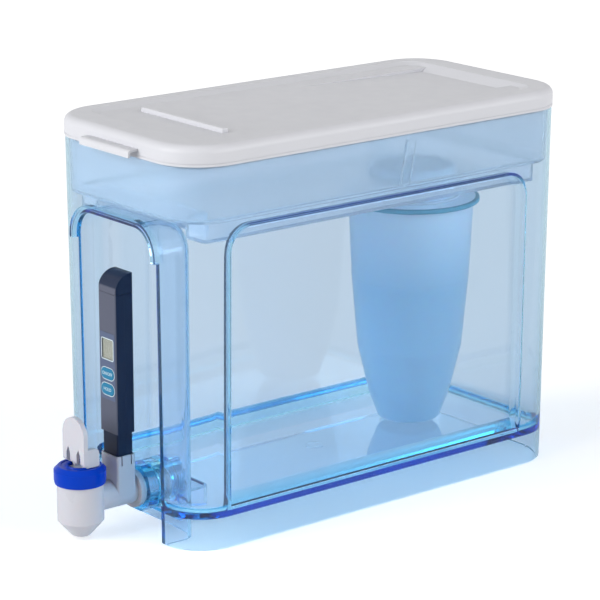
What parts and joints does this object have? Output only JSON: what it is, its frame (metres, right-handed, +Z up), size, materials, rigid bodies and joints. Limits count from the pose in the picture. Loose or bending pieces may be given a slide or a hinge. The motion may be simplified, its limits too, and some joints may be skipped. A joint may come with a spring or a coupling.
{
  "type": "gravity water filter with tap",
  "caption": "Countertop gravity water filter: clear tank, upper reservoir with screw-on filter, lift-off lid, lever tap and lift-out water meter.",
  "frame": {"origin": "centre of the tank's base, on the surface it stands on", "axes": "+Z up, the tap side faces -Y, +X across the width"},
  "size_m": [0.176, 0.4236, 0.3008],
  "materials": {
    "clear_blue": "clear moulded plastic with a light blue tint",
    "reservoir_blue": "pale blue translucent plastic, slightly hazy",
    "lid_white": "warm pale grey-white plastic, satin",
    "tap_white": "white plastic, satin",
    "cobalt_blue": "deep cobalt blue plastic, glossy",
    "collar_clear": "clear blue-green plastic",
    "silicone": "translucent white silicone",
    "seal_teal": "teal rubber",
    "steel": "stainless steel",
    "filter_shell": "pale blue-white plastic",
    "filter_mesh": "fine white mesh",
    "filter_foam": "off-white foam",
    "carbon": "black granulate",
    "resin": "amber beads",
    "meter_navy": "dark navy plastic, satin",
    "meter_label": "blue-grey film",
    "meter_key": "sky-blue rubber key with a white outline",
    "display_lens": "clear window",
    "display_grey": "grey-olive liquid crystal display",
    "board_green": "green circuit board",
    "switch_black": "black plastic",
    "tray_black": "black plastic",
    "cell_steel": "nickel-plated steel",
    "contact_brass": "plated spring brass",
    "o_ring_black": "black rubber"
  },
  "bodies": {
    "tank_body": {"tank": "clear_blue", "tap_body": "tap_white", "tap_bonnet": "cobalt_blue", "tap_diaphragm": "silicone", "tap_flange_washer": "silicone", "tap_wall_washer": "silicone", "tap_spacer_collar": "collar_clear", "tap_back_nut": "collar_clear"},
    "reservoir": {"upper_reservoir": "reservoir_blue"},
    "lid": {"lid": "lid_white"},
    "neck_seal": {"filter_neck_seal": "silicone"},
    "filter": {"filter_carbon_bed": "carbon", "filter_divider_screen": "filter_mesh", "filter_foam_disc": "filter_foam", "filter_inlet_screen": "filter_mesh", "filter_lower_cup": "filter_shell", "filter_outlet_pad": "filter_foam", "filter_resin_bed": "resin", "filter_rim_band": "seal_teal", "filter_top_cap": "filter_shell", "filter_upper_sleeve": "filter_shell"},
    "valve_stem": {"tap_valve_stem": "tap_white", "tap_seat_cup": "silicone", "tap_lever_pin": "steel"},
    "lever": {"tap_lever": "tap_white"},
    "meter": {"meter_battery_contacts": "contact_brass", "meter_battery_tray": "tray_black", "meter_button_cells": "cell_steel", "meter_circuit_board": "board_green", "meter_display": "display_grey", "meter_display_lens": "display_lens", "meter_front_shell": "meter_navy", "meter_key_switches": "switch_black", "meter_label_panel": "meter_label", "meter_probe": "tray_black", "meter_probe_o_ring": "o_ring_black", "meter_probe_pins": "steel", "meter_rear_shell": "meter_navy"},
    "meter_cap": {"meter_cap": "meter_navy"},
    "on_off_button": {"meter_on_off_button": "meter_key"},
    "hold_button": {"meter_hold_button": "meter_key"}
  },
  "joints": [
    {"name": "reservoir_lift", "type": "slide", "parent": "tank_body", "child": "reservoir", "axis": [0, 0, 1], "range_m": [0, 0.26]},
    {"name": "lid_lift", "type": "slide", "parent": "reservoir", "child": "lid", "axis": [0, 0, 1], "range_m": [0, 0.08]},
    {"name": "filter_drop", "type": "slide", "parent": "reservoir", "child": "neck_seal", "axis": [0, 0, -1], "range_m": [0, 0.002]},
    {"name": "filter_turn", "type": "hinge", "parent": "neck_seal", "child": "filter", "pos_m": [0, 0.097, 0.2], "axis": [0, 0, -1], "range_deg": [0, 180]},
    {"name": "stem_lift", "type": "slide", "parent": "tank_body", "child": "valve_stem", "axis": [0, 0, 1], "range_m": [0, 0.004], "stiffness_N_per_m": 900, "deforming": ["tap_diaphragm"]},
    {"name": "lever_tilt", "type": "hinge", "parent": "valve_stem", "child": "lever", "pos_m": [0, -0.2165, 0.0645], "axis": [1, 0, 0], "range_deg": [0, 75]},
    {"name": "meter_lift", "type": "slide", "parent": "tank_body", "child": "meter", "axis": [0, 0, 1], "range_m": [0, 0.03]},
    {"name": "meter_cap_pull", "type": "slide", "parent": "meter", "child": "meter_cap", "axis": [0, 0, 1], "range_m": [0, 0.006]},
    {"name": "on_off_press", "type": "slide", "parent": "meter", "child": "on_off_button", "axis": [0, 1, 0], "range_m": [0, 0.0006], "stiffness_N_per_m": 800},
    {"name": "hold_press", "type": "slide", "parent": "meter", "child": "hold_button", "axis": [0, 1, 0], "range_m": [0, 0.0006], "stiffness_N_per_m": 800}
  ],
  "couplings": [
    {"joint": "lever_tilt", "follows": "stem_lift", "rad_per_m": 327.25},
    {"joint": "filter_drop", "follows": "filter_turn", "m_per_rad": 0.0006365}
  ]
}
